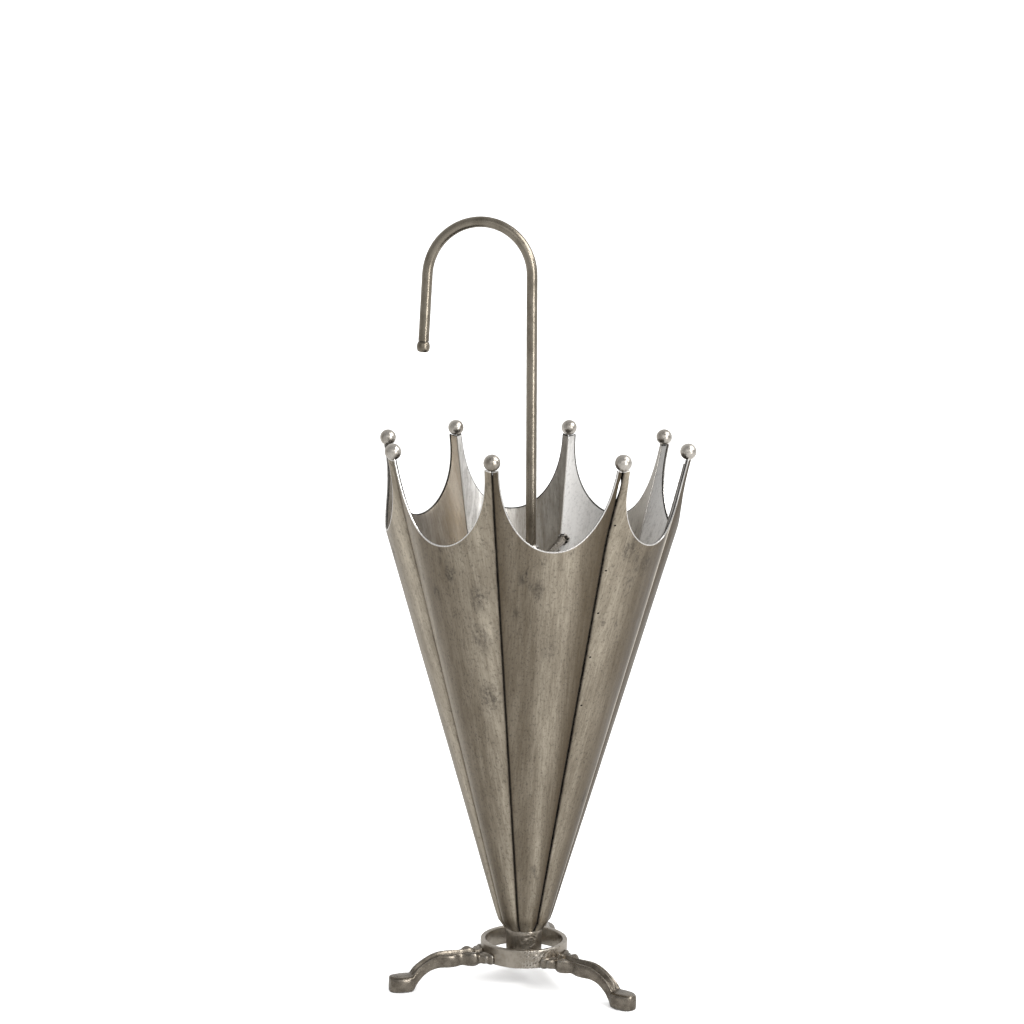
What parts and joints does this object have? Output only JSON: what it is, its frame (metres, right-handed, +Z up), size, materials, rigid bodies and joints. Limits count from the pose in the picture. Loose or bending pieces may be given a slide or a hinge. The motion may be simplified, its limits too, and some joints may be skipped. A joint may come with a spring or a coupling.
{
  "type": "umbrella stand",
  "caption": "Metal umbrella stand shaped like an upturned open umbrella, with scalloped panels, ball tips, a hooked handle and a ring base on cabriole legs.",
  "frame": {"origin": "on the floor, below the middle of the canopy", "axes": "+Z up along the canopy's axis, -Y the front, through a rib; the handle hooks towards -X"},
  "size_m": [0.3094, 0.3154, 0.741],
  "materials": {
    "pewter_panel": "antique pewter, satin, streaked and darkened in the seams",
    "polished_pewter": "antique pewter, rubbed brighter",
    "cast_pewter": "antique pewter over a rough casting, dark in the hollows",
    "bolt_steel": "zinc plated"
  },
  "bodies": {
    "root": {"panel_1": "pewter_panel", "panel_2": "pewter_panel", "panel_3": "pewter_panel", "panel_4": "pewter_panel", "panel_5": "pewter_panel", "panel_6": "pewter_panel", "panel_7": "pewter_panel", "panel_8": "pewter_panel", "finial_1": "polished_pewter", "finial_2": "polished_pewter", "finial_3": "polished_pewter", "finial_4": "polished_pewter", "finial_5": "polished_pewter", "finial_6": "polished_pewter", "finial_7": "polished_pewter", "finial_8": "polished_pewter", "crook_handle": "polished_pewter", "crook_knob": "polished_pewter", "shaft_weld": "polished_pewter", "cross_bar": "cast_pewter", "shaft_socket": "cast_pewter", "neck_sleeve": "cast_pewter", "base_ring": "cast_pewter", "spider_plate": "cast_pewter", "leg_right": "cast_pewter", "leg_back": "cast_pewter", "leg_left": "cast_pewter", "tie_bolt": "bolt_steel", "bolt_washer": "bolt_steel", "tie_nut": "bolt_steel"}
  },
  "joints": []
}
